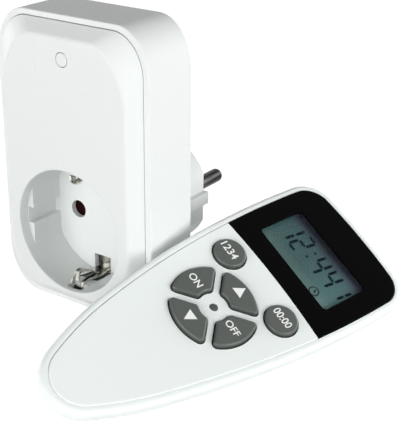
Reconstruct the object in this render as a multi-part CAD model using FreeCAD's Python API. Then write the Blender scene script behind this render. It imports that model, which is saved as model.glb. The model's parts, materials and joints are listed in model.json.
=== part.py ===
import FreeCAD
import Part
import math
import os

# Remote control timer switch: a plug-in radio receiver and its hand remote, in millimetres.
# The receiver stands on z = 0, +Y runs from its front to the wall, and +X is to its right.
# The parts are built with y = 0 at the front rim, and saved with y = 0 in the middle of the foot.
V = FreeCAD.Vector
os.makedirs("parts", exist_ok=True)

# Receiver: the box
WIDTH = 58.4
HEIGHT = 93.6
BACK = 21.1
FOOT_Y = 10.5
WALL = 2.0
OUTER_CORNER = (11.5, 15.5)
RIM_WIDTH = 1.7
RIM_SIDE = 2.0
RIM_CORNER = (10.7, 13.0)
PANEL_GAP = 0.25
PANEL_SIDE_GAP = 0.1
PANEL_HALF = WIDTH / 2 - RIM_SIDE - PANEL_SIDE_GAP
PANEL_LOW = RIM_WIDTH + PANEL_GAP
PANEL_CORNER = (RIM_CORNER[0] - PANEL_SIDE_GAP, RIM_CORNER[1] - PANEL_GAP)
PANEL_BACK = 3.0
BEVEL_START = -0.3
PLATEAU = 4.3
PLATEAU_HALF = 23.7
PLATEAU_MARGIN = 5.7
PLATEAU_CORNER = (13.5, 21.0)
PLATEAU_ROUND = 1.7
HOLLOW_CORNER = 19.5
ROOM_CORNER = 11.3
LABEL_DEPTH = 0.08

# Receiver: the socket recess, to the side-contact plug standard
SOCKET_Z = 26.9
RECESS_R = 20.0
RECESS_FLOOR = 12.1
CUP_WALL = 1.5
FLAT_X = 17.5
FLAT_TOP = -0.5
GROOVE_HALF = 2.7
GROOVE_X = 19.6
PIN_PITCH = 19.0
PIN_HOLE_R = 2.95
FLOOR_BACK = 13.9
WINDOW_SLOT = (3.3, 5.4, 14.1, 22.0)
LIP_SLOT = (2.9, -2.4, 1.5, 18.0, 22.3)
CLIP_HALF = 2.5
CLIP_T = 0.6
TONGUE_HALF = 1.05
TONGUE_ROOM = 1.4
CLIP_ROOT_Y = 14.6
CLIP_END_Y = 17.3
CLIP_ROOT_R = 14.9
SHUTTER_Y = 14.2
SHUTTER_T = 1.5
COVER_Y = 16.0
COVER_T = 1.0

# Receiver: the plug
BOSS_FACE = 45.3
BOSS_R = 19.0
BOSS_FLAT = 17.0
BOSS_WALL = 2.6
RIB_HALF = 2.1
PIN_R = 2.4
PIN_LENGTH = 19.5

# Receiver: the button and the label recess
BUTTON_X = 0.6
BUTTON_Z = 81.6
BUTTON_R = 2.1
BUTTON_TRAVEL = 0.3
LABEL = (-9.8, 10.6, 72.4, 87.0)

# Receiver: the electronics
BOARD_FRONT = 5.3
BOARD_T = 1.6
BOARD_BACK = BOARD_FRONT + BOARD_T
SCREW_PLACES = [(-21.5, 9.6), (21.5, 9.6), (-21.5, 84.0), (21.5, 84.0)]

# Remote: the face outline, in its own frame (v across, u to the head, h out of the face)
FACE_HALF = 23.5
WIDEST_U = 44.0
SIDE_R = 336.0
TAIL_START = 12.37
TAIL_R = 100.0
NOSE_START = 25.0
HEAD_U = 62.5
HEAD_R = 192.0
HEAD_CORNER = 8.0
TAIL_BEND_R = 444.0

# Remote: the case
RIM_OUT = 2.4
RIM_ROUND = 1.6
LOWER_ROUND = 2.1
SIDE_DEPTH = 4.85
BELLY = 14.0
FLANK_POWER = 1.35
HEAD_LIFT = 3.0
CASE_WALL = 1.8
PLATE_T = 1.8
SEAM = 0.12
WINDOW_U = 24.3
WINDOW_BOW_R = 250.0
WINDOW_T = 0.6
PANE_SINK = 0.1
LCD_HALF = 16.3
LCD_LOW = 31.8
LCD_HIGH = 49.9
LCD_CORNER = 1.4

# Remote: the keys
KEY_RISE = 1.3
KEY_GAP = 0.48
KEY_CORNER = 1.2
KEY_ROUND = 0.8
ROUND_KEY = (13.0, 16.2)
ROUND_KEY_R = 5.15
SECTOR_R = 13.5
SECTOR_INNER = 5.1
SECTOR_GAP = 2.8
KEY_FOOT = -2.9
KEY_FOOT_OUT = 0.8
CELL_U = 28.0
BOARD_TOP = -4.6
REMOTE_BOARD_T = 1.2
DOOR = (13.0, 14.0, 42.0)
REMOTE_SCREWS = [(-17.3, 56.6), (17.3, 56.6), (0.0, -37.0)]
POST_TOP = -5.1
HEAD_SEAT = -6.3

# Remote: how it leans, with one long edge on the table and the other on the receiver's corner
REMOTE_AT = V(52.83, -1.38, 16.31)
REMOTE_HEADING = -14.44
REMOTE_PITCH = 3.82
REMOTE_ROLL = 32.5


def remote_placement():
    turn = FreeCAD.Rotation(V(0, 0, 1), REMOTE_HEADING)
    turn = turn.multiply(FreeCAD.Rotation(V(1, 0, 0), REMOTE_PITCH))
    turn = turn.multiply(FreeCAD.Rotation(V(0, 1, 0), REMOTE_ROLL))
    return FreeCAD.Placement(REMOTE_AT, turn)


nodes = {}


def box(x0, x1, y0, y1, z0, z1):
    return Part.makeBox(x1 - x0, y1 - y0, z1 - z0, V(x0, y0, z0))


def rod(r, start, direction, length):
    return Part.makeCylinder(r, length, start, direction)


def cut(body, *tools):
    return body.cut(list(tools)).removeSplitter()


def join(body, *others):
    return body.fuse(list(others)).removeSplitter()


def arc(centre, r, start, end):
    """An arc in the XY plane from one angle to another, in degrees."""
    points = []
    for angle in (start, (start + end) / 2, end):
        a = math.radians(angle)
        points.append(V(centre[0] + r * math.cos(a), centre[1] + r * math.sin(a), 0))
    return Part.Arc(*points).toShape()


def round_rect(x0, x1, y0, y1, r):
    """A rounded rectangle as a wire in the XY plane."""
    corners = [(x1 - r, y1 - r, 0), (x0 + r, y1 - r, 90), (x0 + r, y0 + r, 180), (x1 - r, y0 + r, 270)]
    edges = []
    last = None
    for cx, cy, start in corners:
        bend = arc((cx, cy), r, start, start + 90)
        if last is not None:
            edges.append(Part.makeLine(last, bend.Vertexes[0].Point))
        edges.append(bend)
        last = bend.Vertexes[-1].Point
    edges.append(Part.makeLine(last, edges[0].Vertexes[0].Point))
    return Part.Wire(edges)


def soft_rect(x0, x1, y0, y1, corner):
    """A rectangle with elliptical corners, taller than wide, as a wire in the XY plane."""
    wide, tall = corner
    edges = []
    for x, inward_x in ((x1, -wide), (x0, wide)):
        for y, inward_y in ((y1, -tall), (y0, tall)):
            middle = V(x + inward_x, y + inward_y, 0)
            ellipse = Part.Ellipse(V(middle.x, y, 0), V(x, middle.y, 0), middle)
            edges.append(Part.ArcOfEllipse(ellipse, 0, math.pi / 2).toShape())
        edges.append(Part.makeLine(V(x, y0 + tall, 0), V(x, y1 - tall, 0)))
    for y in (y0, y1):
        edges.append(Part.makeLine(V(x0 + wide, y, 0), V(x1 - wide, y, 0)))
    return Part.Wire(Part.__sortEdges__(edges))


def stand(wire, y):
    """Turns a wire drawn in XY so that it stands in XZ at depth y."""
    wire = wire.copy()
    wire.rotate(V(0, 0, 0), V(1, 0, 0), 90)
    wire.translate(V(0, y, 0))
    return wire


def upright(x0, x1, z0, z1, r, y0, y1):
    """A rounded rectangular block that stands in XZ, from depth y0 to y1."""
    face = Part.Face(stand(round_rect(x0, x1, z0, z1, r), y0))
    return face.extrude(V(0, y1 - y0, 0))


def soft_block(half, margin, corner, y0, y1):
    """A block with elliptical corners over the receiver's front, from depth y0 to y1."""
    face = Part.Face(stand(soft_rect(-half, half, margin, HEIGHT - margin, corner), y0))
    return face.extrude(V(0, y1 - y0, 0))


def ribbon(points, thickness):
    """A bent strip's outline in its own plane: both sides of a polyline, mitred at the bends."""
    left = []
    right = []
    for i, p in enumerate(points):
        before = points[i] - points[i - 1] if i > 0 else points[1] - points[0]
        after = points[i + 1] - points[i] if i < len(points) - 1 else before
        before = V(before).normalize()
        after = V(after).normalize()
        middle = (before + after).normalize()
        side = V(-middle.y, middle.x, 0)
        reach = thickness / 2 / max(side.dot(V(-before.y, before.x, 0)), 0.3)
        left.append(p + side * reach)
        right.append(p - side * reach)
    ring = left + right[::-1]
    return Part.makePolygon(ring + [ring[0]])


def strip_along_x(points, thickness, x0, x1):
    """A bent strip given by (y, z) points, as wide as x0 to x1."""
    wire = ribbon([V(y, z, 0) for y, z in points], thickness)
    block = Part.Face(wire).extrude(V(0, 0, x1 - x0))
    turn = FreeCAD.Matrix(0, 0, 1, x0, 1, 0, 0, 0, 0, 1, 0, 0, 0, 0, 0, 1)
    return block.transformed(turn)


def wire_tube(points, r):
    """A round lead along straight runs with tangent arcs as large as the runs allow."""
    edges = []
    start = points[0]
    for i in range(1, len(points) - 1):
        a = V(points[i - 1] - points[i])
        b = V(points[i + 1] - points[i])
        reach = 0.45 * min(a.Length, b.Length)
        a.normalize()
        b.normalize()
        turn = math.pi - a.getAngle(b)
        radius = reach / math.tan(turn / 2)
        first = points[i] + a * reach
        last = points[i] + b * reach
        bisector = (a + b).normalize()
        centre = points[i] + bisector * math.hypot(radius, reach)
        middle = centre - bisector * radius
        edges.append(Part.makeLine(start, first))
        edges.append(Part.Arc(first, middle, last).toShape())
        start = last
    edges.append(Part.makeLine(start, points[-1]))
    path = Part.Wire(edges)
    direction = points[1] - points[0]
    section = Part.Wire(Part.makeCircle(r, points[0], direction))
    return path.makePipeShell([section], True, False)


def tangent_arc(start, direction, end):
    """The arc that leaves a point in a direction and reaches another point."""
    chord = end - start
    inward = (chord - direction * chord.dot(direction)).normalize()
    r = chord.Length ** 2 / (2 * chord.dot(inward))
    centre = start + inward * r
    middle = centre + ((start - centre) + (end - centre)).normalize() * r
    return Part.Arc(start, middle, end).toShape()


def coil(coil_r, pitch, turns, wire_r):
    """A coiled wire round +Z, from z = 0, on pairs of tangent arcs for each quarter turn."""
    steps = int(round(turns * 4))
    rise = pitch / (2 * math.pi)
    points = []
    directions = []
    for i in range(steps + 1):
        a = i * math.pi / 2
        points.append(V(coil_r * math.cos(a), coil_r * math.sin(a), rise * a))
        directions.append(V(-coil_r * math.sin(a), coil_r * math.cos(a), rise).normalize())
    edges = []
    for i in range(steps):
        v = points[i + 1] - points[i]
        t = directions[i] + directions[i + 1]
        k = 2 * (1 - directions[i].dot(directions[i + 1]))
        d = (math.sqrt(v.dot(t) ** 2 + k * v.dot(v)) - v.dot(t)) / k
        joint = (points[i] + points[i + 1] + (directions[i] - directions[i + 1]) * d) * 0.5
        edges.append(tangent_arc(points[i], directions[i], joint))
        edges.append(tangent_arc(points[i + 1], directions[i + 1] * -1, joint))
    path = Part.Wire(Part.__sortEdges__(edges))
    section = Part.Wire(Part.makeCircle(wire_r, points[0], directions[0]))
    return path.makePipeShell([section], True, False)


# The receiver's shells

def side_contact_round(r, flat, y0, y1):
    """A round block on the socket axis with flats at its left and right."""
    block = rod(r, V(0, y0, SOCKET_Z), V(0, 1, 0), y1 - y0)
    return block.common(box(-flat, flat, y0, y1, SOCKET_Z - r, SOCKET_Z + r))


def off_axis_box(side, half, y0, y1, near, far):
    """A box above (1) or below (-1) the socket axis, between two distances from it."""
    ends = sorted((SOCKET_Z + side * near, SOCKET_Z + side * far))
    return box(-half, half, y0, y1, ends[0], ends[1])


def rear_housing():
    shell = soft_block(WIDTH / 2, 0, OUTER_CORNER, 0, BACK)
    back_edges = [e for e in shell.Edges if e.BoundBox.YMin > BACK - 0.01]
    shell = shell.makeFillet(1.4, back_edges)
    front_edges = [e for e in shell.Edges if e.BoundBox.YMax < 0.01]
    shell = shell.makeFillet(0.4, front_edges)
    boss = side_contact_round(BOSS_R, BOSS_FLAT, BACK - 1, BOSS_FACE)
    face_edges = [e for e in boss.Edges if e.BoundBox.YMin > BOSS_FACE - 0.01]
    boss = boss.makeFillet(0.9, face_edges)
    rib = side_contact_round(BOSS_R, BOSS_R, BACK - 1, BOSS_FACE - 0.5)
    rib = rib.common(box(-BOSS_R, BOSS_R, BACK - 1, BOSS_FACE, SOCKET_Z - RIB_HALF, SOCKET_Z + RIB_HALF))
    shell = join(shell, boss, rib)
    mouth = soft_block(WIDTH / 2 - RIM_SIDE, RIM_WIDTH, RIM_CORNER, -1, PANEL_BACK + 0.4)
    inner = WIDTH / 2 - WALL - 0.6
    room = upright(-inner, inner, WALL + 0.6, HEIGHT - WALL - 0.6, ROOM_CORNER, 0, BACK - WALL)
    plug_room = side_contact_round(BOSS_R - BOSS_WALL, BOSS_FLAT - BOSS_WALL, BACK - WALL - 1, BOSS_FACE - 4)
    shell = cut(shell, mouth, room, plug_room)
    tubes = []
    holes = []
    for x, z in SCREW_PLACES:
        tubes.append(rod(3.7, V(x, 9.3, z), V(0, 1, 0), BACK - WALL - 9.3 + 0.5))
        holes.append(rod(1.65, V(x, 5, z), V(0, 1, 0), 20))
        holes.append(rod(3.1, V(x, 13.5, z), V(0, 1, 0), 20))
    shell = join(shell, *tubes)
    strips = []
    for side in (-1, 1):
        strips.append(off_axis_box(side, 3.2, 27.0, BOSS_FACE + 1, 17.4, 20.4))
        strips.append(off_axis_box(side, 2.3, 27.6, 28.7, 13.2, 18.2))
    pins = []
    for side in (-1, 1):
        pins.append(rod(2.0, V(side * PIN_PITCH / 2, 36, SOCKET_Z), V(0, 1, 0), 20))
    return cut(shell, *(holes + strips + pins))


def panel_bevel():
    """The flat-faced bevel round the panel, with a soft edge where it meets the plateau."""
    foot = stand(soft_rect(-PANEL_HALF, PANEL_HALF, PANEL_LOW, HEIGHT - PANEL_LOW, PANEL_CORNER), BEVEL_START)
    top = stand(soft_rect(-PLATEAU_HALF, PLATEAU_HALF, PLATEAU_MARGIN, HEIGHT - PLATEAU_MARGIN, PLATEAU_CORNER),
                -PLATEAU)
    bevel = Part.makeLoft([foot, top], True, True)
    edge = [e for e in bevel.Edges if e.BoundBox.YMax < -PLATEAU + 0.01]
    return bevel.makeFillet(PLATEAU_ROUND, edge)


def front_panel():
    skirt = soft_block(PANEL_HALF, PANEL_LOW, PANEL_CORNER, BEVEL_START, PANEL_BACK)
    body = join(skirt, panel_bevel())
    inner = PLATEAU_HALF - 0.8
    hollow = upright(-inner, inner, PLATEAU_MARGIN + 0.8, HEIGHT - PLATEAU_MARGIN - 0.8, HOLLOW_CORNER,
                     -PLATEAU + 2, PANEL_BACK + 1)
    wide = PANEL_HALF - WALL
    skirt_low = PANEL_LOW + WALL
    skirt_room = upright(-wide, wide, skirt_low, HEIGHT - skirt_low, ROOM_CORNER, 0.6, PANEL_BACK + 1)
    body = cut(body, hollow, skirt_room)
    cup = rod(RECESS_R + CUP_WALL, V(0, -PLATEAU + 1, SOCKET_Z), V(0, 1, 0), COVER_Y + PLATEAU - 1)
    posts = []
    for x, z in SCREW_PLACES:
        posts.append(rod(3.3, V(x, 0.2, z), V(0, 1, 0), 8.8))
    limit = soft_block(PANEL_HALF, PANEL_LOW, PANEL_CORNER, -10, 30)
    body = join(body, cup.common(limit), *[post.common(limit) for post in posts])
    tools = [rod(RECESS_R, V(0, -10, SOCKET_Z), V(0, 1, 0), 10 + FLAT_TOP)]
    tools.append(side_contact_round(RECESS_R, FLAT_X, FLAT_TOP, RECESS_FLOOR))
    groove = side_contact_round(RECESS_R, GROOVE_X, FLAT_TOP, RECESS_FLOOR)
    tools.append(groove.common(box(-30, 30, -5, 30, SOCKET_Z - GROOVE_HALF, SOCKET_Z + GROOVE_HALF)))
    tools.append(rod(RECESS_R - 0.1, V(0, FLOOR_BACK, SOCKET_Z), V(0, 1, 0), 10))
    for side in (-1, 1):
        tools.append(rod(PIN_HOLE_R, V(side * PIN_PITCH / 2, 0, SOCKET_Z), V(0, 1, 0), 20))
        half, front, near, far = WINDOW_SLOT
        tools.append(off_axis_box(side, half, front, FLOOR_BACK + 1, near, far))
        half, front, back, near, far = LIP_SLOT
        tools.append(off_axis_box(side, half, front, back, near, far))
    for x, z in SCREW_PLACES:
        tools.append(rod(1.5, V(x, 1.5, z), V(0, 1, 0), 20))
    tools.append(rod(BUTTON_R + 0.2, V(BUTTON_X, -10, BUTTON_Z), V(0, 1, 0), 10))
    tools.append(upright(LABEL[0], LABEL[1], LABEL[2], LABEL[3], 1.0, -PLATEAU - 1, -PLATEAU + LABEL_DEPTH))
    body = cut(body, *tools)
    pivot = rod(1.0, V(0, FLOOR_BACK - 0.5, SOCKET_Z), V(0, 1, 0), COVER_Y - FLOOR_BACK + 0.3)
    lip = [e for e in body.Edges if is_recess_lip(e)]
    if lip:
        body = body.makeFillet(0.5, lip)
    return join(body, pivot)


def is_recess_lip(edge):
    if edge.BoundBox.YMax > -PLATEAU + 0.01 or edge.BoundBox.YMin < -PLATEAU - 0.01:
        return False
    if not hasattr(edge.Curve, "Radius"):
        return False
    return abs(edge.Curve.Radius - RECESS_R) < 0.01


# The receiver's moving and sprung pieces

def learn_button():
    stem_end = BOARD_FRONT - 4.4
    cap = rod(BUTTON_R, V(BUTTON_X, -PLATEAU - 0.15, BUTTON_Z), V(0, 1, 0), stem_end + PLATEAU + 0.15)
    rim = [e for e in cap.Edges if e.BoundBox.YMax < -PLATEAU]
    cap = cap.makeFillet(0.35, rim)
    flange = rod(BUTTON_R + 1.1, V(BUTTON_X, -PLATEAU + 2.1, BUTTON_Z), V(0, 1, 0), 0.9)
    return join(cap, flange)


def learn_switch():
    half = 3.0
    body = box(BUTTON_X - half, BUTTON_X + half, BOARD_FRONT - 3.2, BOARD_FRONT, BUTTON_Z - half, BUTTON_Z + half)
    return cut(body, rod(1.75, V(BUTTON_X, BOARD_FRONT - 5, BUTTON_Z), V(0, 1, 0), 3.2))


def learn_switch_plunger():
    return rod(1.6, V(BUTTON_X, BOARD_FRONT - 4.4, BUTTON_Z), V(0, 1, 0), 2.0)


def status_light():
    lamp = rod(1.5, V(BUTTON_X + 6.5, BOARD_FRONT - 3.5, BUTTON_Z), V(0, 1, 0), 3.5)
    tip = [e for e in lamp.Edges if e.BoundBox.YMax < BOARD_FRONT - 3.4]
    return lamp.makeFillet(1.2, tip)


ARM_PATH = [(CLIP_END_Y, CLIP_ROOT_R), (CLIP_ROOT_Y, CLIP_ROOT_R), (CLIP_ROOT_Y, 19.0), (10.5, 19.0), (6.4, 18.8),
            (2.1, 17.9), (-0.2, 18.3), (-1.0, 19.3)]
TONGUE_PATH = [(9.4, 19.0), (8.4, 18.8), (6.2, 17.2), (3.6, 15.6), (1.2, 14.9), (-0.2, 15.2), (-0.8, 16.2),
               (-0.9, 17.7)]
TONGUE_SLOT_END = 8.2


def off_axis(path, side):
    """A path of (y, distance from the socket axis), above (1) or below (-1) the axis."""
    return [(y, SOCKET_Z + side * r) for y, r in path]


def earth_clip(side):
    """A sprung clip: two low side arms, and a tongue between them that arches up and bends down in front."""
    arms = strip_along_x(off_axis(ARM_PATH, side), CLIP_T, -CLIP_HALF, CLIP_HALF)
    arms = cut(arms, off_axis_box(side, TONGUE_ROOM, -5, TONGUE_SLOT_END, 10, 25))
    tongue = strip_along_x(off_axis(TONGUE_PATH, side), CLIP_T, -TONGUE_HALF, TONGUE_HALF)
    return join(arms, tongue)


def shutter():
    arm = upright(-13.2, 13.2, SOCKET_Z - 3.2, SOCKET_Z + 3.2, 3.1, SHUTTER_Y, SHUTTER_Y + SHUTTER_T)
    hub = rod(4.6, V(0, SHUTTER_Y, SOCKET_Z), V(0, 1, 0), SHUTTER_T)
    bore = rod(1.3, V(0, SHUTTER_Y - 1, SOCKET_Z), V(0, 1, 0), 5)
    pocket = rod(3.2, V(0, SHUTTER_Y + 0.35, SOCKET_Z), V(0, 1, 0), 5)
    ramps = []
    for side in (-1, 1):
        ramps.append(rod(1.7, V(side * PIN_PITCH / 2, SHUTTER_Y - 1.45, SOCKET_Z), V(0, 1, 0), 1.6))
    return cut(join(arm, hub), bore, pocket, *ramps)


def shutter_spring():
    spring = coil(2.2, 0.46, 2, 0.2)
    spring.rotate(V(0, 0, 0), V(1, 0, 0), -90)
    spring.translate(V(0, SHUTTER_Y + 0.6, SOCKET_Z))
    return spring


def shutter_cover():
    disc = rod(RECESS_R + CUP_WALL, V(0, COVER_Y, SOCKET_Z), V(0, 1, 0), COVER_T)
    tools = []
    for side in (-1, 1):
        tools.append(rod(3.1, V(side * PIN_PITCH / 2, COVER_Y - 1, SOCKET_Z), V(0, 1, 0), 5))
        tools.append(off_axis_box(side, 3.6, COVER_Y - 1, COVER_Y + 3, WINDOW_SLOT[2], 19.8))
    return cut(disc, *tools)


# The receiver's contacts, pins and leads

def jaw_contact(side):
    """A sprung two-leaf jaw on a pin axis, with its lead strip up to the board."""
    x = side * PIN_PITCH / 2
    tools = []
    for leaf in (-1, 1):
        inner = x + leaf * 2.0
        outer = x + leaf * 2.6
        tools.append(box(min(inner, outer), max(inner, outer), 17.4, 31.0, SOCKET_Z - 3, SOCKET_Z + 3))
    base = box(x - 2.6, x + 2.6, 30.4, 31.0, SOCKET_Z - 3, SOCKET_Z + 3)
    riser = box(x - 2.0, x + 2.0, 17.9, 18.5, SOCKET_Z + 5, 51.6)
    elbow = box(x - 2.0, x + 2.0, 17.9, 19.0, SOCKET_Z + 2.0, SOCKET_Z + 5.6)
    saddle = box(x - 2.6, x + 2.6, 17.9, 19.0, SOCKET_Z + 2.4, SOCKET_Z + 3)
    leg = box(x - 2.0, x + 2.0, BOARD_BACK, 18.5, 51.0, 51.6)
    return join(base, *(tools + [saddle, elbow, riser, leg]))


def earth_bridge():
    y = COVER_Y + COVER_T + 0.4
    strap = box(-3.2, 3.2, y, y + 0.8, SOCKET_Z - 18.0, SOCKET_Z + 18.0)
    arms = [off_axis_box(side, 1.8, y, 28.2, 13.2, 14.0) for side in (-1, 1)]
    return join(strap, *arms)


def plug_earth_strips():
    solids = []
    for side in (-1, 1):
        plate = off_axis_box(side, 2.9, 27.3, BOSS_FACE - 0.3, 17.5, 18.3)
        tab = off_axis_box(side, 1.9, 27.8, 28.5, 14.1, 17.5)
        solids.append(join(plate, tab))
    return Part.makeCompound(solids)


def plug_pin(side):
    x = side * PIN_PITCH / 2
    pin = rod(PIN_R, V(x, BOSS_FACE + 0.02, SOCKET_Z), V(0, 1, 0), PIN_LENGTH)
    tip = [e for e in pin.Edges if e.BoundBox.YMin > BOSS_FACE + PIN_LENGTH - 0.1]
    pin = pin.makeFillet(1.9, tip)
    root = rod(1.95, V(x, 38.5, SOCKET_Z), V(0, 1, 0), BOSS_FACE - 38.0)
    head = rod(2.8, V(x, 38.0, SOCKET_Z), V(0, 1, 0), 3.2)
    return join(pin, root, head)


def mains_lead(side):
    x = side * PIN_PITCH / 2
    near = side * 5.4
    points = [V(x, 38.0, SOCKET_Z), V(x, 35.0, SOCKET_Z), V(side * 7.0, 29.0, SOCKET_Z + 9),
              V(near, 23.0, SOCKET_Z + 11), V(near, 18.05, SOCKET_Z + 12.6), V(near, 18.05, 53.2),
              V(near, BOARD_BACK, 53.2)]
    return wire_tube(points, 0.7)


# The receiver's electronics

def main_board():
    board = box(-25.5, 25.5, BOARD_FRONT, BOARD_BACK, 50.2, 89.5)
    notches = [rod(4.2, V(x, 0, z), V(0, 1, 0), 20) for x, z in SCREW_PLACES]
    room = upright(-26.0, 26.0, 3, HEIGHT - 3.4, 9.0, 0, 20)
    return cut(board, *notches).common(room)


def relay():
    block = box(-24, -9.0, BOARD_BACK, 17.4, 56, 75)
    return block.makeFillet(0.6, [e for e in block.Edges if e.BoundBox.YMin > 17.3])


def film_capacitor():
    block = box(8.0, 24.5, BOARD_BACK, 17.6, 56, 64)
    return block.makeFillet(0.8, [e for e in block.Edges if e.BoundBox.YMin > 17.5])


def electrolytic_capacitor():
    can = rod(4.0, V(9.0, BOARD_BACK + 4.1, 69.5), V(1, 0, 0), 12.5)
    return can.makeFillet(0.8, [e for e in can.Edges if e.BoundBox.XMin > 21.4 or e.BoundBox.XMax < 9.1])


def radio_module():
    board = box(-16, 2, 9.2, 10.0, 77, 88)
    chip = box(-10, -4, 10.0, 11.4, 80, 85)
    pins = [box(-14.5 + 3 * i, -14.0 + 3 * i, BOARD_BACK, 9.2, 78, 78.5) for i in range(5)]
    return join(board, chip, *pins)


def antenna_coil():
    winding = coil(2.4, 1.5, 8, 0.3)
    winding.rotate(V(0, 0, 0), V(0, 1, 0), 90)
    winding.translate(V(4.0, 12.0, 82.0))
    return winding


def housing_screws():
    solids = []
    for x, z in SCREW_PLACES:
        shank = rod(1.4, V(x, 2.0, z), V(0, 1, 0), 12.0)
        head = rod(2.7, V(x, 13.6, z), V(0, 1, 0), 2.0)
        slot = box(x - 2.0, x + 2.0, 14.7, 16, z - 0.35, z + 0.35)
        cross = box(x - 0.35, x + 0.35, 14.7, 16, z - 2.0, z + 2.0)
        solids.append(cut(join(shank, head), slot, cross))
    return Part.makeCompound(solids)


# The remote's outline

def circle_meet(c0, r0, c1, r1):
    """The upper right meeting point of two circles."""
    dx = c1[0] - c0[0]
    dy = c1[1] - c0[1]
    d = math.hypot(dx, dy)
    along = (r0 * r0 - r1 * r1 + d * d) / (2 * d)
    across = math.sqrt(r0 * r0 - along * along)
    options = []
    for sign in (-1, 1):
        x = c0[0] + (dx * along - sign * dy * across) / d
        y = c0[1] + (dy * along + sign * dx * across) / d
        options.append((x, y))
    return max(options)


def angle_to(centre, point):
    return math.degrees(math.atan2(point[1] - centre[1], point[0] - centre[0]))


SIDE_C = (FACE_HALF - SIDE_R, WIDEST_U)
start_rad = math.radians(TAIL_START)
nose_rad = math.radians(NOSE_START)
TAIL_C = (SIDE_C[0] + (SIDE_R - TAIL_R) * math.cos(start_rad), SIDE_C[1] - (SIDE_R - TAIL_R) * math.sin(start_rad))
NOSE_R = (TAIL_C[0] + TAIL_R * math.cos(nose_rad)) / math.cos(nose_rad)
NOSE_C = (0.0, TAIL_C[1] - (TAIL_R - NOSE_R) * math.sin(nose_rad))
HEAD_C = (0.0, HEAD_U - HEAD_R)
CORNER_C = circle_meet(SIDE_C, SIDE_R - HEAD_CORNER, HEAD_C, HEAD_R - HEAD_CORNER)
SIDE_END = angle_to(SIDE_C, CORNER_C)
HEAD_END = angle_to(HEAD_C, CORNER_C)


def flip(edge):
    return edge.mirror(V(0, 0, 0), V(1, 0, 0))


def outline(out):
    """The remote's face outline moved outward, as a wire in the XY plane."""
    right = [arc(NOSE_C, NOSE_R + out, -90, -NOSE_START), arc(TAIL_C, TAIL_R + out, -NOSE_START, -TAIL_START),
             arc(SIDE_C, SIDE_R + out, -TAIL_START, SIDE_END),
             arc(CORNER_C, HEAD_CORNER + out, SIDE_END, HEAD_END)]
    head = arc(HEAD_C, HEAD_R + out, HEAD_END, 180 - HEAD_END)
    edges = right + [head] + [flip(e) for e in right]
    return Part.Wire(Part.__sortEdges__(edges))


def prism(out, h0, h1):
    wire = outline(out)
    wire.translate(V(0, 0, h0))
    return Part.Face(wire).extrude(V(0, 0, h1 - h0))


def half_width(u):
    """Half the face's width at a station along it."""
    if u > TAIL_C[1] - TAIL_R * math.sin(start_rad):
        return SIDE_C[0] + math.sqrt(SIDE_R ** 2 - (u - SIDE_C[1]) ** 2)
    if u > TAIL_C[1] - TAIL_R * math.sin(nose_rad):
        return TAIL_C[0] + math.sqrt(TAIL_R ** 2 - (u - TAIL_C[1]) ** 2)
    return math.sqrt(max(NOSE_R ** 2 - (u - NOSE_C[1]) ** 2, 0))


def tail_drop(u):
    """How far the face bends down towards the tail."""
    return TAIL_BEND_R - math.sqrt(TAIL_BEND_R ** 2 - min(u, 0) ** 2)


def under_face(depth):
    """Everything that lies deeper than this under the bent face."""
    far = -75.0
    r = TAIL_BEND_R - depth
    side = [V(0, u, -TAIL_BEND_R + math.sqrt(r * r - u * u)) for u in (far, far / 2, 0)]
    bend = Part.Arc(*side).toShape()
    corners = [side[2], V(0, 90, -depth), V(0, 90, -60), V(0, far, -60), side[0]]
    edges = [bend] + [Part.makeLine(corners[i], corners[i + 1]) for i in range(4)]
    face = Part.Face(Part.Wire(edges))
    face.translate(V(-60, 0, 0))
    return face.extrude(V(120, 0, 0))


def belly_height(share, u):
    """The belly's height at a station, at a share of the half-width out from the middle."""
    tail = max(0.0, (10 - u) / 66)
    head = max(0.0, (u - 40) / 25)
    deep = -BELLY + 4.6 * tail ** 2 + HEAD_LIFT * head ** 2
    side = -tail_drop(u) - SIDE_DEPTH
    return side + (deep - side) * (1 - abs(share) ** FLANK_POWER)


def above_belly(lift):
    """Everything above the boat-shaped belly, moved up by this much."""
    shares = (0, 0.16, 0.34, 0.52, 0.7, 0.86, 1.0, 1.15, 1.3)
    shares = [-share for share in shares[:0:-1]] + list(shares)
    rows = []
    for u in (-66, -57, -50, -41, -30, -17, -3, 12, 28, 44, 56, 70):
        b = max(half_width(max(u, -50)), 8.5) + RIM_OUT
        rows.append([V(b * share, u, belly_height(share, u) + lift) for share in shares])
    surface = Part.BSplineSurface()
    surface.interpolate(rows)
    return surface.toShape().extrude(V(0, 0, 40))


# The remote's shells

def rim_edges(solid, depth):
    """The edges where the bent face at this depth meets the sides of a solid."""
    rim = []
    for edge in solid.Edges:
        middle = edge.valueAt((edge.FirstParameter + edge.LastParameter) / 2)
        across = edge.BoundBox.YLength < 0.01 and edge.BoundBox.XLength > 20
        if abs(middle.z + tail_drop(middle.y) + depth) < 0.02 and not across:
            rim.append(edge)
    return rim


def case_outer():
    solid = above_belly(0).common(prism(RIM_OUT, -20, 2)).common(under_face(0.15))
    belly = [face for face in solid.Faces if face.Surface.TypeId == "Part::GeomBSplineSurface"]
    solid = solid.makeFillet(LOWER_ROUND, belly[0].Edges)
    return solid.makeFillet(RIM_ROUND, rim_edges(solid, 0.15))


def door_block(gap):
    half, low, high = DOOR
    wire = round_rect(-half + gap, half - gap, low + gap, high - gap, 2.0)
    wire.translate(V(0, 0, -20))
    return Part.Face(wire).extrude(V(0, 0, 12))


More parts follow.
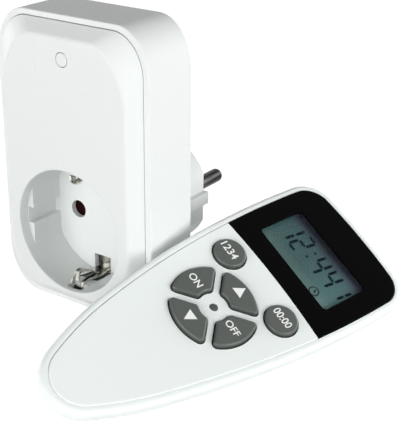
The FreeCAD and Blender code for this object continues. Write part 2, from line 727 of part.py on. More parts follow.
def remote_rear_case(outer, room):
    seat = cut(prism(SEAM, -10, 2), under_face(PLATE_T + 0.15))
    case = cut(outer, seat, room, door_block(0))
    posts = []
    holes = []
    for v, u in REMOTE_SCREWS:
        posts.append(rod(3.1, V(v, u, -20), V(0, 0, 1), 20 + POST_TOP).common(outer))
        holes.append(rod(1.2, V(v, u, -20), V(0, 0, 1), 20))
        holes.append(rod(2.5, V(v, u, -20), V(0, 0, 1), 20 + HEAD_SEAT))
    return cut(join(case, *posts), *holes)


def battery_door(outer, room):
    door = cut(outer.common(door_block(0.2)), room)
    grips = []
    for i in range(5):
        u = DOOR[2] - 5 - 2.2 * i
        grips.append(box(-6, 6, u, u + 1.0, -BELLY - 1, -BELLY + 0.5))
    return cut(door, *grips)


def key_blank(name, out):
    """A key's plan shape grown outward by a gap, as a face at h = 0."""
    if name in ("unit_key", "timer_key"):
        side = -1 if name == "unit_key" else 1
        circle = Part.makeCircle(ROUND_KEY_R + out, V(side * ROUND_KEY[0], ROUND_KEY[1], 0))
        return Part.Face(Part.Wire(circle))
    turn = {"up_key": 0, "on_key": 90, "down_key": 180, "off_key": 270}[name]
    arcs = []
    for r in (SECTOR_R + out, SECTOR_INNER - out):
        swing = math.degrees(math.asin((SECTOR_GAP / 2 - out) / r))
        arcs.append(arc((0, 0), r, 45 + swing, 135 - swing))
    rim, bay = arcs
    sides = [Part.makeLine(rim.Vertexes[i].Point, bay.Vertexes[i].Point) for i in (0, 1)]
    face = Part.Face(Part.Wire(Part.__sortEdges__([rim, bay] + sides)))
    face.rotate(V(0, 0, 0), V(0, 0, 1), turn)
    return face


KEYS = ("unit_key", "timer_key", "on_key", "off_key", "up_key", "down_key")


def key_block(name, out, h0, h1, corner):
    face = key_blank(name, out)
    face.translate(V(0, 0, h0))
    block = face.extrude(V(0, 0, h1 - h0))
    uprights = [e for e in block.Edges if e.BoundBox.ZLength > (h1 - h0) * 0.9 and e.BoundBox.XLength < 0.01]
    if corner and name not in ("unit_key", "timer_key"):
        block = block.makeFillet(corner, uprights)
    return block


def key(name):
    cap = key_block(name, 0, KEY_FOOT + 0.6, KEY_RISE, KEY_CORNER)
    rim = [e for e in cap.Edges if e.BoundBox.ZMin > KEY_RISE - 0.01]
    cap = cap.makeFillet(KEY_ROUND, rim)
    foot = key_block(name, KEY_FOOT_OUT, KEY_FOOT, KEY_FOOT + 0.7, KEY_CORNER)
    return join(cap, foot)


def lcd_block(grow, h0, h1):
    wire = round_rect(-LCD_HALF - grow, LCD_HALF + grow, LCD_LOW - grow, LCD_HIGH + grow, LCD_CORNER)
    wire.translate(V(0, 0, h0))
    return Part.Face(wire).extrude(V(0, 0, h1 - h0))


def window_side(gap):
    """The head end of the face, beyond the bowed border of the black window."""
    disc = rod(WINDOW_BOW_R + gap, V(0, WINDOW_U - WINDOW_BOW_R, -15), V(0, 0, 1), 30)
    return cut(box(-60, 60, 0, 90, -15, 15), disc)


def remote_face_plate():
    plate = cut(prism(0, -12, 2).common(under_face(0)), under_face(PLATE_T))
    plate = plate.makeFillet(0.45, rim_edges(plate, 0))
    posts = []
    pocket = cut(window_side(0), box(-60, 60, -10, 90, -15, -WINDOW_T - 0.05))
    tools = [pocket, lcd_block(1.6, -5, 2), rod(1.35, V(0, 0, -5), V(0, 0, 1), 10)]
    for v, u in REMOTE_SCREWS:
        posts.append(rod(2.3, V(v, u, POST_TOP + 0.05), V(0, 0, 1), 5).common(under_face(PLATE_T - 0.4)))
        tools.append(rod(1.0, V(v, u, -10), V(0, 0, 1), 10 + HEAD_SEAT + 3.2))
    for name in KEYS:
        tools.append(key_block(name, KEY_GAP, -5, 5, KEY_CORNER + KEY_GAP))
    return cut(join(plate, *posts), *tools)


def display_window():
    plate = cut(prism(-0.05, -2, 2), box(-60, 60, -90, 90, 0, 5), box(-60, 60, -90, 90, -5, -WINDOW_T))
    plate = plate.common(window_side(0.12))
    top = [e for e in plate.Edges if e.BoundBox.ZMin > -0.01]
    plate = plate.makeFillet(0.35, top)
    return cut(plate, lcd_block(0, -5, 5))


def display_pane():
    return lcd_block(-0.08, -WINDOW_T, -PANE_SINK)


def lcd_glass():
    rear = box(-18.4, 18.4, 30.4, 51.4, -3.1, -2.5)
    front = box(-18.4, 18.4, 32.0, 51.4, -2.5, -1.95)
    return join(rear, front)


def lcd_frame():
    outer = box(-20.2, 20.2, 28.6, 53.2, BOARD_TOP, -1.95)
    well = box(-18.55, 18.55, 30.25, 51.55, -3.15, 1)
    under = box(-17.4, 17.4, 32.6, 50.2, BOARD_TOP - 1, 1)
    channel = box(-17.4, 17.4, 30.6, 32.7, BOARD_TOP - 1, -3.0)
    room = prism(-0.9, -10, 2)
    return cut(outer, well, under, channel).common(room)


def contact_rubber():
    return box(-17.2, 17.2, 30.8, 32.3, BOARD_TOP + 0.02, -3.12)


def indicator_lens():
    lens = rod(1.15, V(0, 0, -2.2), V(0, 0, 1), 2.35)
    lens = lens.makeFillet(0.4, [e for e in lens.Edges if e.BoundBox.ZMin > 0.1])
    return join(lens, rod(1.9, V(0, 0, -2.6), V(0, 0, 1), 0.7))


def indicator_light():
    return box(-0.8, 0.8, -1.0, 1.0, BOARD_TOP, BOARD_TOP + 1.3)


def keypad_mat():
    sheet = cut(prism(-2.2, BOARD_TOP + 0.03, BOARD_TOP + 0.55), box(-60, 60, 23.5, 90, -10, 0),
                box(-60, 60, -90, -16.5, -10, 0))
    domes = []
    for name in KEYS:
        middle = key_blank(name, 0).CenterOfMass
        domes.append(Part.makeCone(2.6, 2.0, 0.35, V(middle.x, middle.y, BOARD_TOP + 0.5), V(0, 0, 1)))
    return cut(join(sheet, *domes), rod(2.2, V(0, 0, -10), V(0, 0, 1), 10))


def remote_board():
    board = prism(-4.2, BOARD_TOP - REMOTE_BOARD_T, BOARD_TOP)
    board = board.common(box(-60, 60, -30, 90, -10, 0))
    notches = [rod(3.5, V(v, u, -10), V(0, 0, 1), 10) for v, u in REMOTE_SCREWS]
    return cut(board, *notches)


def controller_chip():
    low = BOARD_TOP - REMOTE_BOARD_T
    return box(-5, 5, -6, 4, low - 1.5, low)


def transmitter_can():
    low = BOARD_TOP - REMOTE_BOARD_T
    can = rod(3.6, V(5.0, -13.5, low - 2.0), V(0, 0, 1), 2.0)
    return can.makeFillet(0.5, [e for e in can.Edges if e.BoundBox.ZMax < low - 1.9])


def coin_cell():
    low = BOARD_TOP - REMOTE_BOARD_T
    top = rod(9.0, V(0, CELL_U, low - 3.75), V(0, 0, 1), 1.0)
    can = rod(10.0, V(0, CELL_U, low - 3.5), V(0, 0, 1), 2.95)
    can = can.makeFillet(0.4, [e for e in can.Edges if e.BoundBox.ZLength < 0.01])
    return join(can, top)


def cell_clip():
    low = BOARD_TOP - REMOTE_BOARD_T
    middle = V(0, CELL_U, low - 3.2)
    ring = cut(rod(11.2, middle, V(0, 0, 1), 3.2), rod(10.3, middle, V(0, 0, 1), 5))
    ring = cut(ring, box(-5, 5, 10, CELL_U, low - 5, low + 1))
    plate = rod(7.0, V(0, CELL_U, low - 0.5), V(0, 0, 1), 0.5)
    bars = [box(-10.7, 10.7, CELL_U - 1.5, CELL_U + 1.5, low - 0.5, low),
            box(-1.5, 1.5, CELL_U, CELL_U + 10.7, low - 0.5, low)]
    return join(ring, plate, *bars)


def remote_screws():
    solids = []
    for v, u in REMOTE_SCREWS:
        low = HEAD_SEAT - 1.2
        head = rod(2.2, V(v, u, low), V(0, 0, 1), 1.2)
        shank = rod(0.95, V(v, u, low + 1.0), V(0, 0, 1), 2.9)
        slot = box(v - 1.6, v + 1.6, u - 0.3, u + 0.3, low - 1, low + 0.8)
        cross = box(v - 0.3, v + 0.3, u - 1.6, u + 1.6, low - 1, low + 0.8)
        solids.append(cut(join(head, shank), slot, cross))
    return Part.makeCompound(solids)


def build_receiver():
    nodes["rear_housing"] = rear_housing()
    nodes["front_panel"] = front_panel()
    nodes["learn_button"] = learn_button()
    nodes["learn_switch"] = learn_switch()
    nodes["learn_switch_plunger"] = learn_switch_plunger()
    nodes["status_light"] = status_light()
    nodes["upper_earth_clip"] = earth_clip(1)
    nodes["lower_earth_clip"] = earth_clip(-1)
    nodes["shutter"] = shutter()
    nodes["shutter_spring"] = shutter_spring()
    nodes["shutter_cover"] = shutter_cover()
    nodes["line_contact"] = jaw_contact(-1)
    nodes["neutral_contact"] = jaw_contact(1)
    nodes["earth_bridge"] = earth_bridge()
    nodes["plug_earth_strips"] = plug_earth_strips()
    nodes["line_pin"] = plug_pin(-1)
    nodes["neutral_pin"] = plug_pin(1)
    nodes["line_wire"] = mains_lead(-1)
    nodes["neutral_wire"] = mains_lead(1)
    nodes["main_board"] = main_board()
    nodes["relay"] = relay()
    nodes["film_capacitor"] = film_capacitor()
    nodes["electrolytic_capacitor"] = electrolytic_capacitor()
    nodes["radio_module"] = radio_module()
    nodes["antenna_coil"] = antenna_coil()
    nodes["housing_screws"] = housing_screws()


def build_remote():
    outer = case_outer()
    room = above_belly(CASE_WALL).common(prism(-0.7, -20, 2)).common(under_face(PLATE_T + 0.1))
    pieces = {}
    pieces["remote_rear_case"] = remote_rear_case(outer, room)
    pieces["battery_door"] = battery_door(outer, room)
    pieces["remote_face_plate"] = remote_face_plate()
    pieces["display_window"] = display_window()
    pieces["display_pane"] = display_pane()
    pieces["lcd_glass"] = lcd_glass()
    pieces["lcd_frame"] = lcd_frame()
    pieces["contact_rubber"] = contact_rubber()
    for name in KEYS:
        pieces[name] = key(name)
    pieces["indicator_lens"] = indicator_lens()
    pieces["indicator_light"] = indicator_light()
    pieces["keypad_mat"] = keypad_mat()
    pieces["remote_board"] = remote_board()
    pieces["controller_chip"] = controller_chip()
    pieces["transmitter_can"] = transmitter_can()
    pieces["coin_cell"] = coin_cell()
    pieces["cell_clip"] = cell_clip()
    pieces["remote_screws"] = remote_screws()
    place = remote_placement()
    for name, shape in pieces.items():
        nodes[name] = shape.transformed(place.toMatrix())


build_receiver()
build_remote()
lowest = min(shape.BoundBox.ZMin for shape in nodes.values())
print("lowest point of the whole part: %.3f" % lowest)
for name, shape in nodes.items():
    solids = len(shape.Solids)
    print("%-24s solids %d valid %s volume %.0f" % (name, solids, shape.isValid(), shape.Volume))
    shape.translated(V(0, -FOOT_Y, 0)).exportStep("parts/%s.step" % name)
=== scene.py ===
import json
import math

import bpy
from mathutils import Matrix, Vector


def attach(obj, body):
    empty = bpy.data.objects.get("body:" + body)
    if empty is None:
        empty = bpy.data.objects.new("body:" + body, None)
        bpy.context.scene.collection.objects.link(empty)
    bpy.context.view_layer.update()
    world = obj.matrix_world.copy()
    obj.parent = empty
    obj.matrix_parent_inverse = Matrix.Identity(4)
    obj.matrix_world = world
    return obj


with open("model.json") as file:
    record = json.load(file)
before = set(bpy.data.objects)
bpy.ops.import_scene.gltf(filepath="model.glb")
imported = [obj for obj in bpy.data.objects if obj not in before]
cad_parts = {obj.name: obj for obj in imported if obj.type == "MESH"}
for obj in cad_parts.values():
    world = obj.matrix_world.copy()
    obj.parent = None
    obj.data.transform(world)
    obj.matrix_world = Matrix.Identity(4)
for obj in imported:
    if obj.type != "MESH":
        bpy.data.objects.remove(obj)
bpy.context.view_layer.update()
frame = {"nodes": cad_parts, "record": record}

MM = 0.001

# How the remote lies: the middle of its key ring, then its turns about Z, X and Y
REMOTE_AT = Vector((52.83, -11.88, 16.31)) * MM
REMOTE_HEADING = -14.44
REMOTE_PITCH = 3.82
REMOTE_ROLL = 32.5

# The remote's printed marks, in millimetres on its face: places are (across, towards the head)
KEY_TOP = 1.3
PRINT_LIFT = 0.02
PRINT_DEPTH = 0.03
LETTER_SWELL = 0.012
# Each printed word: its piece, the word, its middle, its height, its width and the key that carries it
KEY_WORDS = [
    ("on_mark", "ON", (-9.45, -0.3), 2.5, 4.9, "on_key"),
    ("off_mark", "OFF", (8.65, 0.0), 2.4, 5.4, "off_key"),
    ("unit_mark", "1234", (-13.6, 16.3), 2.7, 6.5, "unit_key"),
    ("timer_mark", "00:00", (12.7, 16.5), 2.7, 7.0, "timer_key"),
]
# Each printed arrow: its piece, its corners and the key that carries it
KEY_ARROWS = [
    ("up_mark", [(-2.45, 8.5), (1.45, 8.5), (-0.5, 12.3)], "up_key"),
    ("down_mark", [(1.6, -7.95), (-2.1, -7.95), (-0.25, -11.6)], "down_key"),
]

# The display, in the same measures: its field, its painted shading and its figures
GLASS_TOP = -1.95
LCD_LOW = 31.8
LCD_HIGH = 49.9
LCD_HALF = 16.3
# Painted shading across the field: darker in the middle, lighter towards one end
LCD_SHADE_FROM = -2.0
LCD_MIDDLE_SHADE = 0.85
LCD_END_SHADE = 1.35
# The field's colours, from its edge towards the keys to its edge towards the head: painted shading that
# darkens towards the head, and a painted violet shadow of the window's frame along the head edge
LCD_TONES_AND_PAINTED_SHADOW = [
    (0.0, (0.12, 0.2, 0.185)), (0.3, (0.062, 0.122, 0.122)), (0.78, (0.052, 0.102, 0.106)),
    (0.92, (0.047, 0.066, 0.082)), (1.0, (0.03, 0.033, 0.05)),
]
DIGIT_LOW = 39.0
DIGIT_HIGH = 47.5
DIGIT_SLANT = 0.1
DIGIT_STROKE = 0.98
DIGIT_GAP = 0.2
DIGIT_WIDTH = 3.3
# The large figures of the time, each with its left edge
LARGE_DIGITS = [("1", -11.0 - DIGIT_WIDTH), ("2", -9.0), ("4", 0.0), ("4", 5.6)]
SMALL_DIGIT_LEFT = 14.3 - DIGIT_WIDTH
SMALL_DIGIT_LOW = 39.8
SMALL_DIGIT_HEIGHT = 6.6
SMALL_DIGIT_STROKE = DIGIT_STROKE * 0.9
COLON_DOTS = [(-2.1, 44.9), (-2.35, 41.4)]
COLON_R = 0.45
CLOCK_AT = (8.75, 34.8)
CLOCK_OUTER_R = 1.78
CLOCK_INNER_R = 1.42
CLOCK_LONG_HAND = 1.1
CLOCK_SHORT_HAND = 0.8
CLOCK_HAND_TAIL = 0.1
LONG_HAND_STROKE = 0.38
SHORT_HAND_STROKE = 0.4
RING_STEPS = 40
DOT_STEPS = 16

# Camera, from the photograph: where it stands and how it is turned
CAMERA_AT = Vector((0.20529, -0.23891, 0.16369))
CAMERA_AZIMUTH = 34.766
CAMERA_ELEVATION = 23.234
CAMERA_ROLL = 0.484
CAMERA_LENS = 91.32
CAMERA_CLIP = (0.01, 20.0)
SENSOR = 36.0

# Floor and light
FLOOR_SIZE = 3.0
FLOOR_DROP = -0.0002
FLOOR_COLOUR = (0.6, 0.6, 0.6)
FLOOR_GLOW = 0.87
LAMP_DISTANCE = 0.95
LAMP_SIZE = 0.6
LIT_MIDDLE = Vector((0.03, 0.0, 0.045))
# Each lamp: the direction that it stands in, and its level
LAMPS = {
    "right_lamp": ((0.992, 0.087, 0.087), 0.88),
    "near_lamp": ((0.341, -0.936, 0.087), 0.56),
    "left_lamp": ((-0.291, -0.953, 0.087), 0.71),
    "rear_lamp": ((0.604, 0.72, 0.342), 0.24),
    "back_lamp": ((0.3, 0.953, 0.04), 0.35),
    "far_lamp": ((-0.985, 0.17, 0.04), 0.5),
}
WORLD_LEVEL = 0.05


def on_remote():
    turn = Matrix.Rotation(math.radians(REMOTE_HEADING), 4, "Z")
    turn = turn @ Matrix.Rotation(math.radians(REMOTE_PITCH), 4, "X")
    turn = turn @ Matrix.Rotation(math.radians(REMOTE_ROLL), 4, "Y")
    return Matrix.Translation(REMOTE_AT) @ turn


REMOTE = on_remote()


# Materials

def new_material(name):
    material = bpy.data.materials.new(name)
    material.use_nodes = True
    return material, material.node_tree.nodes, material.node_tree.links


def shader(nodes):
    return next(node for node in nodes if node.type == "BSDF_PRINCIPLED")


GRAIN_SCALE = 900.0
GRAIN_HEIGHT = 0.0001
CLOUD_SCALE = 60.0


def surface(name, colour, roughness, metallic=0.0, ior=1.5, grain=0.0, uneven=0.0):
    """A plain material: one colour, with a fine grain in its relief and a faint unevenness in its gloss."""
    material, nodes, links = new_material(name)
    bsdf = shader(nodes)
    bsdf.inputs["Base Color"].default_value = (*colour, 1.0)
    bsdf.inputs["Roughness"].default_value = roughness
    bsdf.inputs["Metallic"].default_value = metallic
    bsdf.inputs["IOR"].default_value = ior
    if grain > 0 or uneven > 0:
        place = nodes.new("ShaderNodeTexCoord")
    if grain > 0:
        noise = nodes.new("ShaderNodeTexNoise")
        noise.inputs["Scale"].default_value = GRAIN_SCALE
        noise.inputs["Detail"].default_value = 3.0
        bump = nodes.new("ShaderNodeBump")
        bump.inputs["Strength"].default_value = grain
        bump.inputs["Distance"].default_value = GRAIN_HEIGHT
        links.new(place.outputs["Object"], noise.inputs["Vector"])
        links.new(noise.outputs["Fac"], bump.inputs["Height"])
        links.new(bump.outputs["Normal"], bsdf.inputs["Normal"])
    if uneven > 0:
        cloud = nodes.new("ShaderNodeTexNoise")
        cloud.inputs["Scale"].default_value = CLOUD_SCALE
        cloud.inputs["Detail"].default_value = 4.0
        spread = nodes.new("ShaderNodeMapRange")
        spread.inputs["To Min"].default_value = roughness - uneven
        spread.inputs["To Max"].default_value = roughness + uneven
        links.new(place.outputs["Object"], cloud.inputs["Vector"])
        links.new(cloud.outputs["Fac"], spread.inputs["Value"])
        links.new(spread.outputs["Result"], bsdf.inputs["Roughness"])
    return material


# Where the painted reflections turn from dark to bright
STREAK_EDGES = (0.38, 0.62)


def metal_with_painted_reflections(name, dark, bright, roughness, stretch, shift):
    """A metal with painted reflections: streaks of a dark and a bright colour, set by a scale along each
    axis, stand in for the dark and bright surroundings it mirrors.

    The shift moves the streaks about.
    """
    material, nodes, links = new_material(name)
    bsdf = shader(nodes)
    bsdf.inputs["Metallic"].default_value = 1.0
    bsdf.inputs["Roughness"].default_value = roughness
    place = nodes.new("ShaderNodeTexCoord")
    streak = nodes.new("ShaderNodeMapping")
    streak.inputs["Scale"].default_value = stretch
    streak.inputs["Location"].default_value = shift
    noise = nodes.new("ShaderNodeTexNoise")
    noise.inputs["Scale"].default_value = 1.0
    noise.inputs["Detail"].default_value = 2.0
    tone = nodes.new("ShaderNodeValToRGB")
    for element, position, colour in zip(tone.color_ramp.elements, STREAK_EDGES, (dark, bright)):
        element.position = position
        element.color = (*colour, 1)
    links.new(place.outputs["Object"], streak.inputs["Vector"])
    links.new(streak.outputs["Vector"], noise.inputs["Vector"])
    links.new(noise.outputs["Fac"], tone.inputs["Fac"])
    links.new(tone.outputs["Color"], bsdf.inputs["Base Color"])
    return material


def clear_plastic(name):
    material, nodes, links = new_material(name)
    bsdf = shader(nodes)
    bsdf.inputs["Base Color"].default_value = (0.92, 0.95, 0.94, 1.0)
    bsdf.inputs["Roughness"].default_value = 0.04
    bsdf.inputs["IOR"].default_value = 1.15
    bsdf.inputs["Transmission Weight"].default_value = 1.0
    bsdf.inputs["Alpha"].default_value = 0.15
    return material


def display_glass(name):
    """The display: a grey-green field with painted shading, darker in the middle, and a painted violet
    shadow of the window's frame along its head edge.
    """
    material, nodes, links = new_material(name)
    bsdf = shader(nodes)
    bsdf.inputs["Roughness"].default_value = 0.3
    bsdf.inputs["IOR"].default_value = 1.2
    place = nodes.new("ShaderNodeTexCoord")
    turned = nodes.new("ShaderNodeMapping")
    turned.vector_type = "POINT"
    inverse = REMOTE.inverted()
    turned.inputs["Location"].default_value = inverse.to_translation()
    turned.inputs["Rotation"].default_value = inverse.to_euler("XYZ")
    split = nodes.new("ShaderNodeSeparateXYZ")
    links.new(place.outputs["Object"], turned.inputs["Vector"])
    links.new(turned.outputs["Vector"], split.inputs["Vector"])
    along = nodes.new("ShaderNodeMapRange")
    along.inputs["From Min"].default_value = LCD_LOW * MM
    along.inputs["From Max"].default_value = LCD_HIGH * MM
    # Colours along the field: painted shading, ending in a painted shadow of the window's frame at the head
    # edge
    ramp = nodes.new("ShaderNodeValToRGB")
    for element, (position, colour) in zip(ramp.color_ramp.elements, (LCD_TONES_AND_PAINTED_SHADOW[0], LCD_TONES_AND_PAINTED_SHADOW[-1])):
        element.position = position
        element.color = (*colour, 1)
    for position, colour in LCD_TONES_AND_PAINTED_SHADOW[1:-1]:
        element = ramp.color_ramp.elements.new(position)
        element.color = (*colour, 1)
    links.new(split.outputs["Y"], along.inputs["Value"])
    links.new(along.outputs["Result"], ramp.inputs["Fac"])
    # Painted shading across the field, lighter towards one end
    across = nodes.new("ShaderNodeMapRange")
    across.inputs["From Min"].default_value = LCD_SHADE_FROM * MM
    across.inputs["From Max"].default_value = LCD_HALF * MM
    across.inputs["To Min"].default_value = LCD_MIDDLE_SHADE
    across.inputs["To Max"].default_value = LCD_END_SHADE
    shade = nodes.new("ShaderNodeVectorMath")
    shade.operation = "SCALE"
    links.new(split.outputs["X"], across.inputs["Value"])
    links.new(ramp.outputs["Color"], shade.inputs["Vector"])
    links.new(across.outputs["Result"], shade.inputs["Scale"])
    links.new(shade.outputs["Vector"], bsdf.inputs["Base Color"])
    return material


HOUSING_WHITE = (0.81, 0.835, 0.825)
# The remote's own greenish white, set brighter than the housing's white as painted light on its face
REMOTE_WHITE_AND_PAINTED_LIGHT = (0.935, 0.985, 0.97)
PLASTIC_IOR = 1.17
MATERIALS = {
    "housing_white": surface("housing_white", HOUSING_WHITE, 0.32, ior=PLASTIC_IOR, grain=0.05, uneven=0.03),
    "panel_white": surface("panel_white", HOUSING_WHITE, 0.3, ior=PLASTIC_IOR, grain=0.05, uneven=0.03),
    "remote_white": surface("remote_white", REMOTE_WHITE_AND_PAINTED_LIGHT, 0.3, ior=PLASTIC_IOR, grain=0.05, uneven=0.03),
    "light_pipe": surface("light_pipe", (0.6, 0.06, 0.04), 0.2),
    # Painted reflections on the clip steel: near-black and bright streaks
    "clip_steel": metal_with_painted_reflections("clip_steel", (0.07, 0.068, 0.058), (0.8, 0.79, 0.72), 0.16,
                                (620, 330, 170), (1.8, 1.2, 1.6)),
    "shutter_red": surface("shutter_red", (0.016, 0.004, 0.003), 0.5, ior=1.1, grain=0.1),
    "spring_steel": surface("spring_steel", (0.6, 0.6, 0.6), 0.3, metallic=1.0),
    "inner_plastic": surface("inner_plastic", (0.55, 0.55, 0.53), 0.5, grain=0.2),
    "contact_brass": surface("contact_brass", (0.78, 0.55, 0.25), 0.25, metallic=1.0, uneven=0.06),
    # Painted reflections on the pins: near-black and dark grey streaks for the dark surroundings they mirror
    "pin_nickel": metal_with_painted_reflections("pin_nickel", (0.016, 0.016, 0.015), (0.105, 0.105, 0.1), 0.24,
                                (250, 40, 420), (1.4, 0.6, 2.6)),
    "lead_brown": surface("lead_brown", (0.12, 0.045, 0.02), 0.5),
    "lead_blue": surface("lead_blue", (0.02, 0.07, 0.3), 0.5),
    "board_green": surface("board_green", (0.02, 0.13, 0.05), 0.35, grain=0.1),
    "relay_black": surface("relay_black", (0.02, 0.02, 0.02), 0.45, grain=0.2),
    "film_yellow": surface("film_yellow", (0.6, 0.36, 0.04), 0.4),
    "can_aluminium": surface("can_aluminium", (0.7, 0.7, 0.7), 0.3, metallic=1.0),
    "coil_copper": surface("coil_copper", (0.7, 0.3, 0.14), 0.3, metallic=1.0),
    "switch_black": surface("switch_black", (0.03, 0.03, 0.03), 0.5),
    "plunger_black": surface("plunger_black", (0.04, 0.04, 0.04), 0.5),
    "screw_steel": surface("screw_steel", (0.5, 0.5, 0.51), 0.3, metallic=1.0, uneven=0.05),
    "window_black": surface("window_black", (0.001, 0.001, 0.0012), 0.07, ior=1.1),
    "clear_pane": clear_plastic("clear_pane"),
    "lcd_grey": display_glass("lcd_grey"),
    "frame_black": surface("frame_black", (0.03, 0.03, 0.03), 0.5, grain=0.2),
    "contact_rubber": surface("contact_rubber", (0.12, 0.12, 0.12), 0.7),
    "key_grey": surface("key_grey", (0.072, 0.082, 0.073), 0.4, grain=0.12, uneven=0.06),
    "mat_grey": surface("mat_grey", (0.25, 0.25, 0.25), 0.7),
    "lens_grey": surface("lens_grey", (0.055, 0.062, 0.056), 0.3),
    "cell_steel": surface("cell_steel", (0.7, 0.7, 0.69), 0.25, metallic=1.0, uneven=0.05),
    "clip_nickel": surface("clip_nickel", (0.62, 0.6, 0.56), 0.3, metallic=1.0, uneven=0.05),
}
STRIP_STEEL = surface("strip_steel", (0.42, 0.41, 0.37), 0.24, metallic=1.0, uneven=0.05)
PRINT_WHITE = surface("print_white", (0.95, 0.96, 0.95), 0.5)
SEGMENT_DARK = surface("segment_dark", (0.006, 0.012, 0.018), 0.4, ior=1.05)
STRIPS = ("plug_earth_strips", "earth_bridge")


def dress_nodes():
    """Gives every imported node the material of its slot."""
    for part in frame["record"]["subparts"]:
        node = frame["nodes"][part["node"]]
        material = STRIP_STEEL if part["node"] in STRIPS else MATERIALS[part["material_slot"]]
        node.data.materials.clear()
        node.data.materials.append(material)


# The remote's printed marks

def flat_mesh(name, outlines, height):
    """Thin printed shapes on the remote: each outline is a list of points across and along its face."""
    vertices = []
    faces = []
    for outline in outlines:
        count = len(outline)
        base = len(vertices)
        for level in (height, height + PRINT_DEPTH):
            vertices += [REMOTE @ (Vector((v, u, level)) * MM) for v, u in outline]
        faces.append([base + count + i for i in range(count)])
        faces.append([base + count - 1 - i for i in range(count)])
        for i in range(count):
            j = (i + 1) % count
            faces.append([base + i, base + j, base + count + j, base + count + i])
    mesh = bpy.data.meshes.new(name)
    mesh.from_pydata([tuple(p) for p in vertices], [], faces)
    mesh.validate()
    piece = bpy.data.objects.new(name, mesh)
    bpy.context.scene.collection.objects.link(piece)
    return piece


def finish_piece(piece, material, body):
    piece.data.materials.clear()
    piece.data.materials.append(material)
    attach(piece, body)
    return piece


def text_piece(name, words, middle, height, width, body):
    """A printed word as a thin mesh on a key's top, fitted to a height and a width."""
    curve = bpy.data.curves.new(name + "_text", "FONT")
    curve.body = words
    curve.align_x = "CENTER"
    curve.align_y = "CENTER"
    curve.offset = LETTER_SWELL
    curve.resolution_u = 6
    curve.extrude = 0.5
    source = bpy.data.objects.new(name + "_source", curve)
    bpy.context.scene.collection.objects.link(source)
    bpy.context.view_layer.update()
    mesh = bpy.data.meshes.new_from_object(source)
    bpy.data.objects.remove(source)
    xs = [p.co.x for p in mesh.vertices]
    ys = [p.co.y for p in mesh.vertices]
    scale_x = width / (max(xs) - min(xs))
    scale_y = height / (max(ys) - min(ys))
    centre_x = (max(xs) + min(xs)) / 2
    centre_y = (max(ys) + min(ys)) / 2
    for vertex in mesh.vertices:
        v = middle[0] + (vertex.co.x - centre_x) * scale_x
        u = middle[1] + (vertex.co.y - centre_y) * scale_y
        h = KEY_TOP + PRINT_LIFT + (PRINT_DEPTH if vertex.co.z > 0 else 0)
        vertex.co = REMOTE @ (Vector((v, u, h)) * MM)
    piece = bpy.data.objects.new(name, mesh)
    bpy.context.scene.collection.objects.link(piece)
    return finish_piece(piece, PRINT_WHITE, body)


def key_marks():
    for name, words, middle, height, width, key in KEY_WORDS:
        text_piece(name, words, middle, height, width, key)
    for name, corners, key in KEY_ARROWS:
        arrow = flat_mesh(name, [corners], KEY_TOP + PRINT_LIFT)
        finish_piece(arrow, PRINT_WHITE, key)


# The display's segments

def bar(x0, y0, x1, y1, stroke):
    """One segment: a bar with pointed ends between two points."""
    direction = Vector((x1 - x0, y1 - y0)).normalized()
    side = Vector((-direction.y, direction.x)) * stroke / 2
    tip = direction * stroke / 2
    a = Vector((x0, y0))
    b = Vector((x1, y1))
    points = [a, a + tip + side, b - tip + side, b, b - tip - side, a + tip - side]
    return [(p.x, p.y) for p in points]


SEGMENTS = {
    "a": (0, 1, 1, 1), "b": (1, 0.5, 1, 1), "c": (1, 0, 1, 0.5), "d": (0, 0, 1, 0), "e": (0, 0, 0, 0.5),
    "f": (0, 0.5, 0, 1), "g": (0, 0.5, 1, 0.5)}
DIGITS = {"1": "bc", "2": "abged", "4": "fgbc"}


def digit(value, left, low, height, stroke):
    """A seven-segment digit, slanted a little, as outlines on the face."""
    outlines = []
    for name in DIGITS[value]:
        x0, y0, x1, y1 = SEGMENTS[name]
        ends = []
        for x, y in ((x0, y0), (x1, y1)):
            ends.append(Vector((left + x * DIGIT_WIDTH, low + y * height)))
        along = (ends[1] - ends[0]).normalized() * DIGIT_GAP
        start = ends[0] + along
        stop = ends[1] - along
        outline = bar(start.x, start.y, stop.x, stop.y, stroke)
        outlines.append([(x + (y - low) * DIGIT_SLANT, y) for x, y in outline])
    return outlines


def around(centre, r, step, steps):
    """The point on a circle after so many of its steps."""
    angle = 2 * math.pi * step / steps
    return (centre[0] + r * math.cos(angle), centre[1] + r * math.sin(angle))


def ring(centre, outer, inner):
    """A printed ring as a row of small four-cornered outlines."""
    outlines = []
    for i in range(RING_STEPS):
        ends = ((inner, i), (outer, i), (outer, i + 1), (inner, i + 1))
        outlines.append([around(centre, r, step, RING_STEPS) for r, step in ends])
    return outlines


def dot(centre, r):
    return [around(centre, r, i, DOT_STEPS) for i in range(DOT_STEPS)]


def clock_hands():
    x, y = CLOCK_AT
    return [bar(x, y - CLOCK_HAND_TAIL, x, y + CLOCK_LONG_HAND, LONG_HAND_STROKE),
            bar(x - CLOCK_HAND_TAIL, y, x + CLOCK_SHORT_HAND, y, SHORT_HAND_STROKE)]


def display_marks():
    """The time, a small figure, the colon and a clock sign, as one printed piece."""
    outlines = []
    for value, left in LARGE_DIGITS:
        outlines += digit(value, left, DIGIT_LOW, DIGIT_HIGH - DIGIT_LOW, DIGIT_STROKE)
    outlines += digit("1", SMALL_DIGIT_LEFT, SMALL_DIGIT_LOW, SMALL_DIGIT_HEIGHT, SMALL_DIGIT_STROKE)
    outlines += [dot(centre, COLON_R) for centre in COLON_DOTS]
    outlines += ring(CLOCK_AT, CLOCK_OUTER_R, CLOCK_INNER_R)
    outlines += clock_hands()
    piece = flat_mesh("display_marks", outlines, GLASS_TOP + PRINT_LIFT)
    finish_piece(piece, SEGMENT_DARK, "hand_remote")


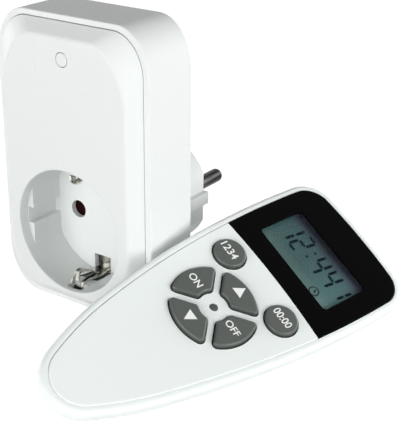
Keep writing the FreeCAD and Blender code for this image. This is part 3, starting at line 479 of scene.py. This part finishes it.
# Floor, light and camera

def seen_directly(nodes, links):
    """A value of 1 for camera, mirror and clear-glass rays, and 0 for the rest."""
    path = nodes.new("ShaderNodeLightPath")
    either = nodes.new("ShaderNodeMath")
    either.operation = "MAXIMUM"
    any_of = nodes.new("ShaderNodeMath")
    any_of.operation = "MAXIMUM"
    links.new(path.outputs["Is Camera Ray"], either.inputs[0])
    links.new(path.outputs["Is Glossy Ray"], either.inputs[1])
    links.new(either.outputs["Value"], any_of.inputs[0])
    links.new(path.outputs["Is Transmission Ray"], any_of.inputs[1])
    return any_of.outputs["Value"]


def studio_floor():
    """A white floor that keeps the object's shadow and glows only to the eye."""
    mesh = bpy.data.meshes.new("floor")
    corners = [(-FLOOR_SIZE, -FLOOR_SIZE, 0), (FLOOR_SIZE, -FLOOR_SIZE, 0), (FLOOR_SIZE, FLOOR_SIZE, 0),
               (-FLOOR_SIZE, FLOOR_SIZE, 0)]
    mesh.from_pydata(corners, [], [(0, 1, 2, 3)])
    floor = bpy.data.objects.new("floor", mesh)
    floor.location.z = FLOOR_DROP
    bpy.context.scene.collection.objects.link(floor)
    material, nodes, links = new_material("floor_white")
    bsdf = shader(nodes)
    bsdf.inputs["Base Color"].default_value = (*FLOOR_COLOUR, 1)
    bsdf.inputs["Roughness"].default_value = 0.9
    bsdf.inputs["Specular IOR Level"].default_value = 0.1
    bsdf.inputs["Emission Color"].default_value = (1, 1, 1, 1)
    glow = nodes.new("ShaderNodeMapRange")
    glow.inputs["To Max"].default_value = FLOOR_GLOW
    links.new(seen_directly(nodes, links), glow.inputs["Value"])
    links.new(glow.outputs["Result"], bsdf.inputs["Emission Strength"])
    floor.data.materials.append(material)


def lamp(name, direction, level):
    """A square soft lamp aimed at the object; level 1 lights a facing white surface to its own colour."""
    data = bpy.data.lights.new(name, "AREA")
    data.size = LAMP_SIZE
    data.energy = level * (math.pi * LAMP_DISTANCE) ** 2
    light = bpy.data.objects.new(name, data)
    away = Vector(direction).normalized()
    light.location = LIT_MIDDLE + away * LAMP_DISTANCE
    light.rotation_euler = away.to_track_quat("Z", "Y").to_euler()
    bpy.context.scene.collection.objects.link(light)


def studio_light():
    for name, (direction, level) in LAMPS.items():
        lamp(name, direction, level)
    world = bpy.data.worlds.new("studio")
    bpy.context.scene.world = world
    world.use_nodes = True
    nodes = world.node_tree.nodes
    links = world.node_tree.links
    background = nodes["Background"]
    background.inputs["Color"].default_value = (1, 1, 1, 1)
    strength = nodes.new("ShaderNodeMapRange")
    strength.inputs["To Min"].default_value = WORLD_LEVEL
    strength.inputs["To Max"].default_value = 1.0
    links.new(seen_directly(nodes, links), strength.inputs["Value"])
    links.new(strength.outputs["Result"], background.inputs["Strength"])


def photo_camera():
    data = bpy.data.cameras.new("photo_camera")
    data.sensor_fit = "AUTO"
    data.sensor_width = SENSOR
    data.lens = CAMERA_LENS
    data.clip_start, data.clip_end = CAMERA_CLIP
    camera = bpy.data.objects.new("photo_camera", data)
    azimuth = math.radians(CAMERA_AZIMUTH)
    elevation = math.radians(CAMERA_ELEVATION)
    back = Vector((math.sin(azimuth) * math.cos(elevation), -math.cos(azimuth) * math.cos(elevation),
                   math.sin(elevation)))
    right = Vector((math.cos(azimuth), math.sin(azimuth), 0))
    up = back.cross(right)
    roll = math.radians(CAMERA_ROLL)
    turned_right = right * math.cos(roll) + up * math.sin(roll)
    turned_up = up * math.cos(roll) - right * math.sin(roll)
    turn = Matrix((turned_right, turned_up, back)).transposed().to_4x4()
    camera.matrix_world = Matrix.Translation(CAMERA_AT) @ turn
    bpy.context.scene.collection.objects.link(camera)
    bpy.context.scene.camera = camera


dress_nodes()
key_marks()
display_marks()
studio_floor()
studio_light()
photo_camera()
bpy.context.scene.view_settings.view_transform = "Standard"
